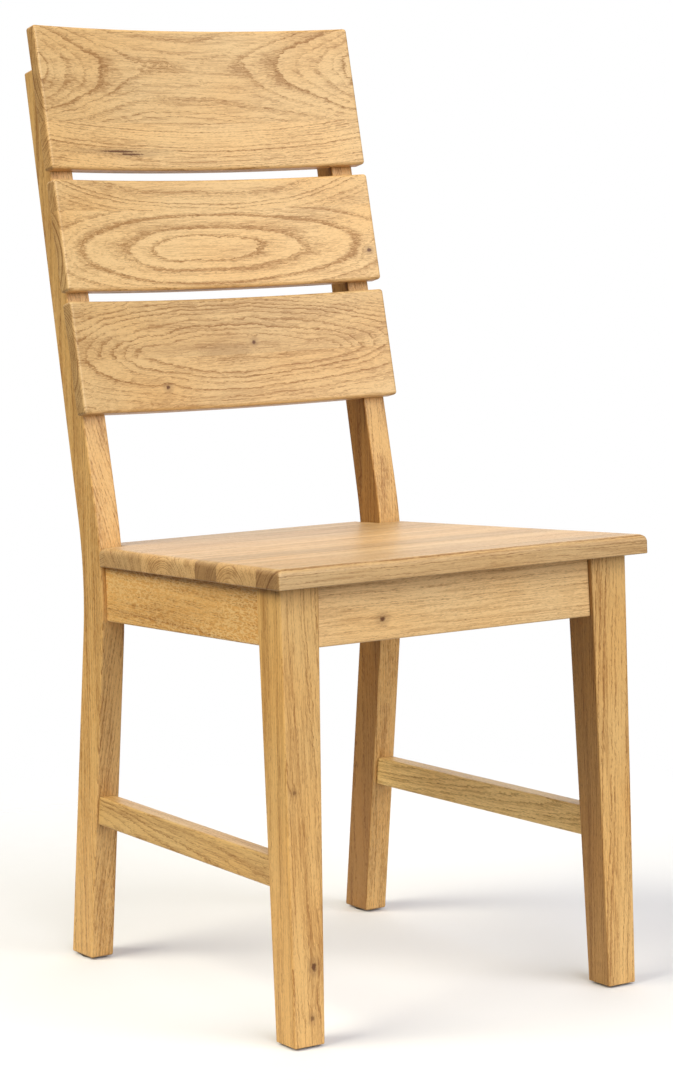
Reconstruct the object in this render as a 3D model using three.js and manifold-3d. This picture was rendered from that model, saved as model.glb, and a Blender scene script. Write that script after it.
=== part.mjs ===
// A solid oak dining chair with three wide curved back slats.
//
// Millimetres, +Z up. The chair faces -Y, and "left" is -X, as seen by someone in front of it.
// While it is built, Y counts from the front edge of the seat; at the end the whole chair is
// moved so that the middle of its footprint lies on the origin.

import * as THREE from "three";
import { mergeVertices } from "three/addons/utils/BufferGeometryUtils.js";
import Module from "manifold-3d";

const wasm = await Module();
wasm.setup();

// ---------------------------------------------------------------- driving dimensions

const GAP = 0.3; // glue line or clearance left between neighbouring pieces

// Seat panel: staves glued side by side, level across and sloping down to the back.
const SEAT_FRONT_HEIGHT = 470;
const SEAT_SLOPE = 0.044;
const SEAT_THICKNESS = 20;
const SEAT_FRONT_WIDTH = 450;
const SEAT_BACK_WIDTH = 384;
const STAVE_WIDTHS = [46, 82, 46, 120, 88, 60]; // front to back

// Front legs: square to the seat, outer faces upright, tapering towards the floor.
const FRONT_LEG = {
  outerX: 211.3,
  top: { z: 450, innerX: 165.8, frontY: 19.6, backY: 62.4 },
  foot: { z: 0, innerX: 176.2, frontY: 5.6, backY: 40.7 },
};

// Rear posts: sawn from a thick board with a bend at seat height. Each face is two straight
// lines, slopes being Y per unit of height, joined by an arc where they would cross.
const POST_OUTER_X = 193.8;
const POST_THICKNESS = 27.8;
const POST_BACK_TOP = 951.5;
const POST_FRONT_FACE = { bendY: 386.6, bendZ: 420.2, below: -0.115, above: 0.225, radius: 450 };
const POST_BACK_FACE = { bendY: 429.1, bendZ: 418.1, below: -0.1157, above: 0.1989, radius: 410 };
const BEND_SEGMENTS = 10;

// Back slats, each glued from two boards. Heights run up the raked posts from the lowest edge.
const SLAT_LENGTH = 401;
const SLAT_THICKNESS = 18;
const SLAT_HOLLOW = 19; // how far the middle stands behind the ends
const SLAT_GAP = 11;
const SLAT_BOTTOM_HEIGHT = 589.7;
const SLAT_ARC_SEGMENTS = 24;
const SLATS = [
  { name: "bottom_slat", lower: 57.5, upper: 63 },
  { name: "middle_slat", lower: 86.5, upper: 34 },
  { name: "top_slat", lower: 52, upper: 104 },
];

// Aprons under the seat.
const APRON_THICKNESS = 20;
const FRONT_APRON_HEIGHT = 61;
const SIDE_APRON_HEIGHT = 58.5;
const FRONT_APRON_SETBACK = 26.2;
const REAR_APRON_SETBACK = 413.5;
const SIDE_APRON_INSET = 5;

// Stretchers between the front leg and the rear post of each side.
const STRETCHER_THICKNESS = 19.5;
const STRETCHER_HEIGHT = 31;
const STRETCHER_BOTTOM = 151.7;
const STRETCHER_FRONT_INSET = 7.6;
const STRETCHER_REAR_INSET = 2;

// Tenons, all of one thickness, and how far they reach into the legs and posts.
const TENON_THICKNESS = 10;
const TENON_SHOULDER = 8; // height lost above and below
const LEG_TENON = 20;
const POST_TENON = 16;
const SHOULDER_BITE = 8; // a rail's body runs this far into an upright before its shoulders are cut

// Dowels between slat boards and posts.
const DOWEL_RADIUS = 4;
const DOWEL_LENGTH = 30;
const DOWEL_IN_SLAT = 10;
const TOP_DOWEL_HEIGHT = 28; // above the glue line, because the top slat stands over the posts

// Corner blocks across the inside corners of the aprons, and the screws in them.
const BLOCK_HEIGHT = 45;
const BLOCK_BAND = 40; // length of its contact along each apron
const FRONT_BLOCK_REACH = 48; // from the aprons' inside corner to the near end of that contact
const REAR_BLOCK_REACH = 30;
const SCREW_HEAD_RADIUS = 4;
const SCREW_SHANK_RADIUS = 2;
const SCREW_HEAD_RIM = 0.6;
const SCREW_HEAD_HEIGHT = 2.8;
const SCREW_POINT = 4;
const SCREW_SIDES = 12;
const APRON_SCREW_LENGTH = 32;
const APRON_SCREW_IN_APRON = 14;
const SEAT_SCREW_LENGTH = 55;
const SEAT_SCREW_IN_SEAT = 12;
const SCREW_POCKET = 30; // clear way for the head, out to the open air
const SEAT_SCREW_SHIFT = 4; // how far the seat screw stands in from the middle of its block

// Glides under the feet.
const GLIDE_RADIUS = 12;
const GLIDE_HEIGHT = 2;
const GLIDE_CHAMFER = 0.6;
const GLIDE_SIDES = 32;

// ---------------------------------------------------------------- derived sizes

const SIDES = [
  { name: "left", sign: -1 },
  { name: "right", sign: 1 },
];
const seatTilt = Math.atan(SEAT_SLOPE);
const postRake = Math.atan(POST_FRONT_FACE.above);
const postInnerX = POST_OUTER_X - POST_THICKNESS;
const footHeight = GLIDE_HEIGHT + GAP;
const seatDepth = STAVE_WIDTHS.reduce((sum, width) => sum + width, 0);
const apronTop = -(SEAT_THICKNESS + GAP); // in the seat's frame

const lerp = THREE.MathUtils.lerp;

// Y of a straight stretch of a post's face at height z, above or below the bend.
const faceAbove = (face, z) => face.bendY + face.above * (z - face.bendZ);
const faceBelow = (face, z) => face.bendY + face.below * (z - face.bendZ);

// X or Y of a front leg's face at height z.
function legFace(key, z) {
  const { top, foot } = FRONT_LEG;
  return lerp(foot[key], top[key], (z - foot.z) / (top.z - foot.z));
}

// Half the seat's width at a distance from its front edge.
const seatHalfWidth = (y) => lerp(SEAT_FRONT_WIDTH, SEAT_BACK_WIDTH, y / seatDepth) / 2;

// Height of the seat's underside at a distance from its front edge.
const seatUnderside = (y) => SEAT_FRONT_HEIGHT - SEAT_SLOPE * y - SEAT_THICKNESS / Math.cos(seatTilt);

// ---------------------------------------------------------------- frames

const chair = new THREE.Group();

// The seat's frame: its origin is the middle of the seat's top front edge, Y runs back along
// the seat and Z stands square on it. The aprons and corner blocks are square to the seat too.
const seatFrame = new THREE.Group();
seatFrame.position.set(0, 0, SEAT_FRONT_HEIGHT);
seatFrame.rotation.x = -seatTilt;

// The back's frame: its origin lies between the posts' front faces at the lowest slat's lower
// edge, Z runs up the raked posts and Y goes square through them to the back.
const backFrame = new THREE.Group();
backFrame.position.set(0, faceAbove(POST_FRONT_FACE, SLAT_BOTTOM_HEIGHT), SLAT_BOTTOM_HEIGHT);
backFrame.rotation.x = -postRake;

chair.add(seatFrame, backFrame);
chair.updateMatrixWorld(true);

// ---------------------------------------------------------------- materials

const wood = (color) => new THREE.MeshStandardMaterial({
  color,
  roughness: 0.55,
  metalness: 0,
  flatShading: true,
});
const makeOak = () => wood(0xd9ab6c);
const makeBeech = () => wood(0xd8b98c);
const makeSteel = () => new THREE.MeshStandardMaterial({
  color: 0xb8b8b4,
  roughness: 0.35,
  metalness: 1,
  flatShading: true,
});
const makeGlidePlastic = () => new THREE.MeshStandardMaterial({
  color: 0x3a2f28,
  roughness: 0.6,
  metalness: 0,
  flatShading: true,
});

// ---------------------------------------------------------------- solids

// A geometry that stands in a frame, as a solid in the chair's coordinates.
function solidIn(frame, geometry) {
  const placed = geometry.clone().applyMatrix4(frame.matrixWorld);
  placed.deleteAttribute("normal");
  placed.deleteAttribute("uv");
  const merged = mergeVertices(placed);
  return new wasm.Manifold(new wasm.Mesh({
    numProp: 3,
    vertProperties: Float32Array.from(merged.attributes.position.array),
    triVerts: Uint32Array.from(merged.index.array),
  }));
}

// The geometry of a solid, in a frame's own coordinates.
function geometryIn(frame, solid) {
  const mesh = solid.getMesh();
  const geometry = new THREE.BufferGeometry();
  geometry.setAttribute("position", new THREE.BufferAttribute(mesh.vertProperties, 3));
  geometry.setIndex(new THREE.BufferAttribute(mesh.triVerts, 1));
  return geometry.applyMatrix4(frame.matrixWorld.clone().invert());
}

const cut = (solid, cutters) => cutters.reduce((rest, cutter) => rest.subtract(cutter), solid);
const join = (solids) => solids.reduce((whole, solid) => whole.add(solid));

function addPiece(frame, name, solid, material) {
  const piece = new THREE.Mesh(geometryIn(frame, solid), material);
  piece.name = name;
  frame.add(piece);
}

// ---------------------------------------------------------------- shapes

// A flat outline from [x, y] points.
const outline = (points) => new THREE.Shape(points.map(([x, y]) => new THREE.Vector2(x, y)));

// An outline made into a slab that lies between two heights.
function slab(shape, bottom, top) {
  const geometry = new THREE.ExtrudeGeometry(shape, { depth: top - bottom, bevelEnabled: false });
  return geometry.translate(0, 0, bottom);
}

// The circle whose arc rounds off the bend of a post's face, touching both straight stretches.
function bendCircle(face) {
  const lower = Math.atan(face.below);
  const upper = Math.atan(face.above);
  const tangent = face.radius * Math.tan((upper - lower) / 2);
  const startY = face.bendY - tangent * Math.sin(lower);
  const startZ = face.bendZ - tangent * Math.cos(lower);
  const centreY = startY + face.radius * Math.cos(lower);
  const centreZ = startZ - face.radius * Math.sin(lower);
  return { lower, upper, centreY, centreZ };
}

// Points along that arc, from bottom to top.
function bendArc(face) {
  const { lower, upper, centreY, centreZ } = bendCircle(face);
  const points = [];
  for (let i = 0; i <= BEND_SEGMENTS; i += 1) {
    const angle = lerp(lower, upper, i / BEND_SEGMENTS);
    points.push([centreY - face.radius * Math.cos(angle), centreZ + face.radius * Math.sin(angle)]);
  }
  return points;
}

// Y of a post's face at a height within its bend.
function faceInBend(face, z) {
  const { centreY, centreZ } = bendCircle(face);
  return centreY - Math.sqrt(face.radius ** 2 - (z - centreZ) ** 2);
}

// The whole rear post, made bigger all round by grow.
function postSolid(sign, grow = 0) {
  const front = { ...POST_FRONT_FACE, bendY: POST_FRONT_FACE.bendY - grow };
  const back = { ...POST_BACK_FACE, bendY: POST_BACK_FACE.bendY + grow };
  const bottom = footHeight - grow;
  const backTop = POST_BACK_TOP + grow;
  const depth = faceAbove(back, backTop) - faceAbove(front, backTop);
  const topRun = depth / (Math.cos(postRake) + front.above * Math.sin(postRake));
  const frontTop = backTop + topRun * Math.sin(postRake);
  const profile = outline([
    [faceBelow(front, bottom), bottom],
    ...bendArc(front),
    [faceAbove(front, frontTop), frontTop],
    [faceAbove(back, backTop), backTop],
    ...bendArc(back).reverse(),
    [faceBelow(back, bottom), bottom],
  ]);
  const geometry = slab(profile, postInnerX - grow, POST_OUTER_X + grow);
  geometry.rotateX(Math.PI / 2).rotateZ(Math.PI / 2);
  if (sign < 0) geometry.translate(-(POST_OUTER_X + postInnerX), 0, 0);
  return solidIn(chair, geometry);
}

// The whole front leg, made bigger all round by grow. Its top follows the seat's underside.
function frontLegSolid(sign, grow = 0) {
  const { top, outerX } = FRONT_LEG;
  const geometry = new THREE.BoxGeometry(1, 1, 1);
  const position = geometry.attributes.position;
  for (let i = 0; i < position.count; i += 1) {
    const atBack = position.getY(i) > 0;
    const atTop = position.getZ(i) > 0;
    const atOutside = position.getX(i) * sign > 0;
    const yKey = atBack ? "backY" : "frontY";
    const z = atTop ? seatUnderside(top[yKey]) - GAP + grow : footHeight - grow;
    const x = atOutside ? outerX + grow : legFace("innerX", z) - grow;
    const y = legFace(yKey, z) + (atBack ? grow : -grow);
    position.setXYZ(i, sign * x, y, z);
  }
  return solidIn(chair, geometry);
}

// Outer edge of a side rail in plan, at a distance from the seat's front edge. The insets are
// how far it stands in from the outer faces of the leg and of the post.
function sideRailX([legInset, postInset], y) {
  const legBackY = FRONT_LEG.top.backY;
  const run = (y - legBackY) / (POST_FRONT_FACE.bendY - legBackY);
  return lerp(FRONT_LEG.outerX - legInset, POST_OUTER_X - postInset, run);
}

// A strip in plan for a side rail, of one thickness, an offset inside the rail's outer edge.
function sideStrip(sign, insets, offset, thickness, fromY, toY) {
  const outerX = (y) => sideRailX(insets, y) - offset;
  return outline([
    [sign * outerX(fromY), fromY],
    [sign * outerX(toY), toY],
    [sign * (outerX(toY) - thickness), toY],
    [sign * (outerX(fromY) - thickness), fromY],
  ]);
}

// A rail's body with its shoulders cut to the uprights, and a tenon core running through it.
function railSolid(body, core, uprights) {
  return join([cut(body, uprights), core]);
}

// A piece turned on its own axis, with that axis along Y: the profile is [radius, y] points.
function turned(profile, sides) {
  return new THREE.LatheGeometry(profile.map(([r, y]) => new THREE.Vector2(r, y)), sides);
}

// Places a turned or drilled shape with its Y axis along a direction from a point of a frame.
function aimed(geometry, point, direction) {
  const turn = new THREE.Quaternion().setFromUnitVectors(new THREE.Vector3(0, 1, 0), direction);
  return geometry.applyQuaternion(turn).translate(point.x, point.y, point.z);
}

// ---------------------------------------------------------------- uprights, for the shoulders

const uprightsOf = SIDES.map(({ sign }) => ({
  leg: frontLegSolid(sign, GAP),
  post: postSolid(sign, GAP),
}));

// Sockets and drilled holes are collected per upright, then cut in one go.
const legCutters = SIDES.map(() => []);
const postCutters = SIDES.map(() => []);

// Distance from the seat's front edge to the posts' front faces, at the height of the seat.
const seatToPost = faceInBend(POST_FRONT_FACE, seatUnderside(seatDepth) + SEAT_THICKNESS);

// ---------------------------------------------------------------- side aprons and stretchers

// The tenon core of a side rail, made bigger all round by grow.
function sideCore(frame, sign, spec, grow) {
  const strip = sideStrip(
    sign,
    spec.insets,
    (spec.thickness - TENON_THICKNESS) / 2 - grow,
    TENON_THICKNESS + 2 * grow,
    spec.legBackY - LEG_TENON - grow,
    spec.postFrontY + POST_TENON + grow,
  );
  const bottom = spec.bottom + TENON_SHOULDER - grow;
  return solidIn(frame, slab(strip, bottom, spec.top - TENON_SHOULDER + grow));
}

// A rail between the front leg and the rear post of one side.
function makeSideRail(frame, side, name, spec) {
  const { sign } = SIDES[side];
  const from = spec.legBackY - SHOULDER_BITE;
  const to = spec.postFrontY + SHOULDER_BITE;
  const strip = sideStrip(sign, spec.insets, 0, spec.thickness, from, to);
  const body = solidIn(frame, slab(strip, spec.bottom, spec.top));
  const coreWith = (grow) => sideCore(frame, sign, spec, grow);
  const socket = coreWith(GAP);
  legCutters[side].push(socket);
  postCutters[side].push(socket);
  const { leg, post } = uprightsOf[side];
  return { name, frame, solid: railSolid(body, coreWith(0), [leg, post]) };
}

const sideApronSpec = {
  insets: [SIDE_APRON_INSET, SIDE_APRON_INSET],
  thickness: APRON_THICKNESS,
  legBackY: FRONT_LEG.top.backY,
  postFrontY: seatToPost,
  bottom: apronTop - SIDE_APRON_HEIGHT,
  top: apronTop,
};
const stretcherMiddle = STRETCHER_BOTTOM + STRETCHER_HEIGHT / 2;
const stretcherSpec = {
  insets: [STRETCHER_FRONT_INSET, STRETCHER_REAR_INSET],
  thickness: STRETCHER_THICKNESS,
  legBackY: legFace("backY", stretcherMiddle),
  postFrontY: faceBelow(POST_FRONT_FACE, stretcherMiddle),
  bottom: STRETCHER_BOTTOM,
  top: STRETCHER_BOTTOM + STRETCHER_HEIGHT,
};
const sideAprons = SIDES.map(({ name }, side) => (
  makeSideRail(seatFrame, side, `side_apron_${name}`, sideApronSpec)
));
const sideStretchers = SIDES.map(({ name }, side) => (
  makeSideRail(chair, side, `side_stretcher_${name}`, stretcherSpec)
));

// ---------------------------------------------------------------- front and rear aprons

// A rail straight across the chair, reaching tenons into the uprights of both sides.
function makeCrossRail(name, frontY, height, uprights, innerX, tenon, cutterLists) {
  const box = (halfLength, fromY, toY, bottom, top) => solidIn(seatFrame, slab(outline([
    [-halfLength, fromY],
    [halfLength, fromY],
    [halfLength, toY],
    [-halfLength, toY],
  ]), bottom, top));
  const bottom = apronTop - height;
  const body = box(innerX + SHOULDER_BITE, frontY, frontY + APRON_THICKNESS, bottom, apronTop);
  const shoulder = (APRON_THICKNESS - TENON_THICKNESS) / 2;
  const coreWith = (grow) => box(
    innerX + tenon + grow,
    frontY + shoulder - grow,
    frontY + APRON_THICKNESS - shoulder + grow,
    bottom + TENON_SHOULDER - grow,
    apronTop - TENON_SHOULDER + grow,
  );
  const socket = coreWith(GAP);
  cutterLists.forEach((list) => list.push(socket));
  return { name, frame: seatFrame, solid: railSolid(body, coreWith(0), uprights) };
}

const frontApron = makeCrossRail(
  "front_apron",
  FRONT_APRON_SETBACK,
  FRONT_APRON_HEIGHT,
  uprightsOf.map(({ leg }) => leg),
  FRONT_LEG.top.innerX,
  LEG_TENON,
  legCutters,
);
const rearApron = makeCrossRail(
  "rear_apron",
  REAR_APRON_SETBACK,
  SIDE_APRON_HEIGHT,
  uprightsOf.map(({ post }) => post),
  postInnerX,
  POST_TENON,
  postCutters,
);

// ---------------------------------------------------------------- seat staves

let staveStart = 0;
const staves = STAVE_WIDTHS.map((width, index) => {
  const from = staveStart + (index === 0 ? 0 : GAP / 2);
  staveStart += width;
  const to = staveStart - (index === STAVE_WIDTHS.length - 1 ? 0 : GAP / 2);
  const shape = outline([
    [-seatHalfWidth(from), from],
    [seatHalfWidth(from), from],
    [seatHalfWidth(to), to],
    [-seatHalfWidth(to), to],
  ]);
  return { name: `seat_stave_${index + 1}`, solid: solidIn(seatFrame, slab(shape, -SEAT_THICKNESS, 0)) };
});

// Behind the posts' front faces the seat is notched, so that only the part between them is left.
// The cutter runs well past the seat's side, back and both faces.
const notches = SIDES.map(({ sign }) => {
  const inner = sign * (postInnerX - GAP);
  const past = sign * SEAT_FRONT_WIDTH;
  const behind = seatDepth + SEAT_FRONT_WIDTH;
  const corner = outline([[inner, seatToPost], [past, seatToPost], [past, behind], [inner, behind]]);
  return solidIn(seatFrame, slab(corner, -SEAT_THICKNESS - SHOULDER_BITE, SHOULDER_BITE));
});

// ---------------------------------------------------------------- corner blocks and their screws

const screwProfile = (length) => [
  [0, 0],
  [SCREW_HEAD_RADIUS, 0],
  [SCREW_HEAD_RADIUS, SCREW_HEAD_RIM],
  [SCREW_SHANK_RADIUS, SCREW_HEAD_HEIGHT],
  [SCREW_SHANK_RADIUS, length - SCREW_POINT],
  [0, length],
];

// The hole for a screw: its own shape with clearance, and a pocket that lets the head in.
const screwHoleProfile = (length) => [
  [0, -SCREW_POCKET],
  [SCREW_HEAD_RADIUS + GAP, -SCREW_POCKET],
  [SCREW_HEAD_RADIUS + GAP, SCREW_HEAD_RIM + GAP],
  [SCREW_SHANK_RADIUS + GAP, SCREW_HEAD_HEIGHT + GAP],
  [SCREW_SHANK_RADIUS + GAP, length + GAP],
  [0, length + GAP],
];

function makeScrew(name, length, point, direction) {
  const shape = (profile) => solidIn(seatFrame, aimed(turned(profile, SCREW_SIDES), point, direction));
  return { name, solid: shape(screwProfile(length)), hole: shape(screwHoleProfile(length)) };
}

// Inner face of a side apron in plan, at a distance from the seat's front edge.
const sideApronInnerX = (y) => sideRailX(sideApronSpec.insets, y) - APRON_THICKNESS;

// A block across the corner of a side apron and a cross apron. The cross apron's face is at
// faceY, and towards is +1 where the block lies behind it and -1 where it lies in front.
function makeCornerBlock(side, corner, faceY, towards, reach) {
  const { sign, name } = SIDES[side];
  const y0 = faceY + towards * GAP;
  const cornerX = sideApronInnerX(y0) - GAP;
  const far = reach + BLOCK_BAND;
  const sidePoint = (distance) => {
    const y = y0 + towards * distance;
    return [sign * (sideApronInnerX(y) - GAP), y];
  };
  const block = outline([
    [sign * (cornerX - reach), y0],
    sidePoint(reach),
    sidePoint(far),
    [sign * (cornerX - far), y0],
  ]);
  const solid = solidIn(seatFrame, slab(block, apronTop - BLOCK_HEIGHT, apronTop));
  const middleZ = apronTop - BLOCK_HEIGHT / 2;
  const label = `${corner}_${name}`;
  const middle = reach + BLOCK_BAND / 2;
  const back = APRON_SCREW_LENGTH - APRON_SCREW_IN_APRON;
  const crossScrew = makeScrew(
    `block_screw_${label}_cross`,
    APRON_SCREW_LENGTH,
    new THREE.Vector3(sign * (cornerX - middle), y0 + towards * back, middleZ),
    new THREE.Vector3(0, -towards, 0),
  );
  const sideY = y0 + towards * middle;
  const sideScrew = makeScrew(
    `block_screw_${label}_side`,
    APRON_SCREW_LENGTH,
    new THREE.Vector3(sign * (sideApronInnerX(sideY) - back), sideY, middleZ),
    new THREE.Vector3(sign, 0, 0),
  );
  const inward = middle / 2 + SEAT_SCREW_SHIFT;
  const seatScrew = makeScrew(
    `seat_screw_${label}`,
    SEAT_SCREW_LENGTH,
    new THREE.Vector3(
      sign * (cornerX - inward),
      y0 + towards * inward,
      -SEAT_THICKNESS + SEAT_SCREW_IN_SEAT - SEAT_SCREW_LENGTH,
    ),
    new THREE.Vector3(0, 0, 1),
  );
  return { name: `corner_block_${label}`, solid, crossScrew, sideScrew, seatScrew, side };
}

const frontFaceY = FRONT_APRON_SETBACK + APRON_THICKNESS;
const frontBlocks = SIDES.map((_, side) => (
  makeCornerBlock(side, "front", frontFaceY, 1, FRONT_BLOCK_REACH)
));
const rearBlocks = SIDES.map((_, side) => (
  makeCornerBlock(side, "rear", REAR_APRON_SETBACK, -1, REAR_BLOCK_REACH)
));
const cornerBlocks = [...frontBlocks, ...rearBlocks];

// ---------------------------------------------------------------- slats and their dowels

// Radius of the slat's front face, and how far an arc has dropped at x from its middle.
const slatRadius = ((SLAT_LENGTH / 2) ** 2 + SLAT_HOLLOW ** 2) / (2 * SLAT_HOLLOW);
const arcDrop = (radius, x) => radius - Math.sqrt(radius ** 2 - x ** 2);

// The curved section of a slat. Its back is flat where it lands on the posts.
function slatOutline() {
  const half = SLAT_LENGTH / 2;
  const landing = postInnerX - GAP;
  const middleY = SLAT_HOLLOW - SLAT_THICKNESS;
  const arc = (radius, reach, y) => {
    const points = [];
    for (let i = 0; i <= SLAT_ARC_SEGMENTS; i += 1) {
      const x = lerp(-reach, reach, i / SLAT_ARC_SEGMENTS);
      points.push([x, y - arcDrop(radius, x)]);
    }
    return points;
  };
  return outline([
    ...arc(slatRadius, half, middleY),
    [half, -GAP],
    [landing, -GAP],
    ...arc(slatRadius + SLAT_THICKNESS, landing, middleY + SLAT_THICKNESS).reverse(),
    [-landing, -GAP],
    [-half, -GAP],
  ]);
}

function makeDowel(side, name, height) {
  const { sign } = SIDES[side];
  const x = sign * (POST_OUTER_X - POST_THICKNESS / 2);
  const drill = (radius, length) => {
    const rod = new THREE.CylinderGeometry(radius, radius, length, SCREW_SIDES);
    const middle = new THREE.Vector3(x, DOWEL_LENGTH / 2 - DOWEL_IN_SLAT, height);
    return solidIn(backFrame, aimed(rod, middle, new THREE.Vector3(0, 1, 0)));
  };
  const hole = drill(DOWEL_RADIUS + GAP, DOWEL_LENGTH + 2 * GAP);
  postCutters[side].push(hole);
  return { name: `${name}_dowel_${SIDES[side].name}`, solid: drill(DOWEL_RADIUS, DOWEL_LENGTH), hole };
}

// A board of a slat between two heights up the posts, with its two dowels.
function makeSlatBoard(name, bottom, top, dowelHeight) {
  const dowels = SIDES.map((_, side) => makeDowel(side, name, dowelHeight));
  const solid = solidIn(backFrame, slab(slatOutline(), bottom, top));
  return { name: `${name}_board`, dowels, solid: cut(solid, dowels.map(({ hole }) => hole)) };
}

const slatBoards = [];
let slatStart = 0;
for (const { name, lower, upper } of SLATS) {
  const glueLine = slatStart + lower;
  const slatTop = glueLine + upper;
  const upperDowel = name === "top_slat" ? glueLine + TOP_DOWEL_HEIGHT : glueLine + upper / 2;
  slatBoards.push(
    makeSlatBoard(`${name}_lower`, slatStart, glueLine - GAP / 2, slatStart + lower / 2),
    makeSlatBoard(`${name}_upper`, glueLine + GAP / 2, slatTop, upperDowel),
  );
  slatStart = slatTop + SLAT_GAP;
}

// ---------------------------------------------------------------- glides

function glideSolid(x, y) {
  const profile = [
    [0, 0],
    [GLIDE_RADIUS - GLIDE_CHAMFER, 0],
    [GLIDE_RADIUS, GLIDE_CHAMFER],
    [GLIDE_RADIUS, GLIDE_HEIGHT],
    [0, GLIDE_HEIGHT],
  ];
  const disc = turned(profile, GLIDE_SIDES);
  return solidIn(chair, aimed(disc, new THREE.Vector3(x, y, 0), new THREE.Vector3(0, 0, 1)));
}

// ---------------------------------------------------------------- the chair

const screws = cornerBlocks.flatMap((block) => [block.crossScrew, block.sideScrew, block.seatScrew]);
const holesOf = (blocks, key) => blocks.map((block) => block[key].hole);

SIDES.forEach(({ name, sign }, side) => {
  addPiece(chair, `front_leg_${name}`, cut(frontLegSolid(sign), legCutters[side]), makeOak());
  addPiece(chair, `rear_post_${name}`, cut(postSolid(sign), postCutters[side]), makeOak());

  const sideHoles = holesOf(cornerBlocks.filter((block) => block.side === side), "sideScrew");
  const apron = sideAprons[side];
  addPiece(apron.frame, apron.name, cut(apron.solid, sideHoles), makeOak());

  const stretcher = sideStretchers[side];
  addPiece(stretcher.frame, stretcher.name, stretcher.solid, makeOak());

  const { foot, outerX } = FRONT_LEG;
  const frontFoot = glideSolid(sign * (outerX + foot.innerX) / 2, (foot.frontY + foot.backY) / 2);
  addPiece(chair, `glide_front_${name}`, frontFoot, makeGlidePlastic());
  const postFootY = (faceBelow(POST_FRONT_FACE, 0) + faceBelow(POST_BACK_FACE, 0)) / 2;
  const rearFoot = glideSolid(sign * (POST_OUTER_X - POST_THICKNESS / 2), postFootY);
  addPiece(chair, `glide_rear_${name}`, rearFoot, makeGlidePlastic());
});

addPiece(seatFrame, frontApron.name, cut(frontApron.solid, holesOf(frontBlocks, "crossScrew")), makeOak());
addPiece(seatFrame, rearApron.name, cut(rearApron.solid, holesOf(rearBlocks, "crossScrew")), makeOak());

for (const { name, solid } of staves) {
  const posts = uprightsOf.map(({ post }) => post);
  const cutters = [...holesOf(cornerBlocks, "seatScrew"), ...notches, ...posts];
  addPiece(seatFrame, name, cut(solid, cutters), makeOak());
}

for (const { name, solid, crossScrew, sideScrew, seatScrew } of cornerBlocks) {
  addPiece(seatFrame, name, cut(solid, [crossScrew.hole, sideScrew.hole, seatScrew.hole]), makeOak());
}

for (const { name, solid } of screws) addPiece(seatFrame, name, solid, makeSteel());

for (const { name, solid, dowels } of slatBoards) {
  addPiece(backFrame, name, solid, makeOak());
  for (const dowel of dowels) addPiece(backFrame, dowel.name, dowel.solid, makeBeech());
}

// Centre the footprint on the origin.
const box = new THREE.Box3().setFromObject(chair);
chair.position.y = -(box.min.y + box.max.y) / 2;

export default chair;
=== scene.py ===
"""The looks of a solid oak dining chair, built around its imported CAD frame.

Metres, +Z up. The chair faces -Y, and its left side is at -X, as seen by someone in front of it.
Legs, posts, aprons, stretchers, slats and seat staves are each their CAD solid cut from a rounded
envelope. Corner blocks, dowels, screws and glides show as they are in CAD. The oak has solid growth
rings, which each piece cuts through in its own way.
"""

import math

import bmesh
import bpy
from mathutils import Matrix, Vector


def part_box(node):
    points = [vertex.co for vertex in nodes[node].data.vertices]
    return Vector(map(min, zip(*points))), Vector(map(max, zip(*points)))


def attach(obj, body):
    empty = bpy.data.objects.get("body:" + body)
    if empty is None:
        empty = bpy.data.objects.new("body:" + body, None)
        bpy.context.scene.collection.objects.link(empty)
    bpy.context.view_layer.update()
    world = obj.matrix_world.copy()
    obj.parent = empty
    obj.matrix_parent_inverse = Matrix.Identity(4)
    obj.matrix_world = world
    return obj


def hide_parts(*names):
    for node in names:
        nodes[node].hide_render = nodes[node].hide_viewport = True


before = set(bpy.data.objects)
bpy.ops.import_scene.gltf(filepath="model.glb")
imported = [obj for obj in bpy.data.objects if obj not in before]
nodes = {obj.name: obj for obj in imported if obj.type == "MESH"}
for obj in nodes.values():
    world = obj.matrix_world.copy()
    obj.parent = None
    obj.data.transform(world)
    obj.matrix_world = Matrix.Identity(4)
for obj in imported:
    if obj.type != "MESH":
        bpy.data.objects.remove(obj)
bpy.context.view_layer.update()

MM = 0.001
SIDES = (("left", -1), ("right", 1))
X, Y, Z = Vector((1, 0, 0)), Vector((0, 1, 0)), Vector((0, 0, 1))

# ---------------------------------------------------------------- view and light

# The camera is where the photograph's edges put it.
CAMERA_PLACE = (-1.81365, -2.73596, 0.84434)
CAMERA_TURN = 33.841  # degrees to the right of straight ahead
CAMERA_PITCH = -6.730
CAMERA_ROLL = -0.865
LENS = 104.65  # mm
SENSOR = 36  # mm, the height of the picture
CAMERA_REACH = 100

ROOM_LIGHT = 0.1
CEILING_LIGHT = 0.25
CEILING_EDGE = (0.15, 0.85)  # how far up the light from above begins, and where it is full
WALL_LIGHT = 1.1  # a bright wall behind the chair, to its right
WALL_DIRECTION = (0.6, 0.79, 0.1)
WALL_EDGE = (0.6, 0.95)  # cosines to the wall's direction where its light begins, and where it is full
WHITE = (1, 1, 1, 1)
SUNS = {  # where each soft light comes from, the angle it fills in degrees, strength and colour
    "key": ((0.1, -0.85, 0.5), 65, 2.75, (1, 1, 1)),
    "fill": ((-0.78, 0.1, 0.70), 40, 2.7, (1, 0.95, 0.76)),
}
FLOOR_RADIUS = 1.25
FLOOR_CORNERS = 96
FLOOR_COLOUR = (0.84, 0.84, 0.87, 1)
FLOOR_BOUNCE = (0.5, 0.5, 0.52, 1)  # what the floor throws back up, less than what it shows
FLOOR_FADE = (0.45, 1.2)  # the floor fades into the white backdrop between these distances

# ---------------------------------------------------------------- rounding of the edges

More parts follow.
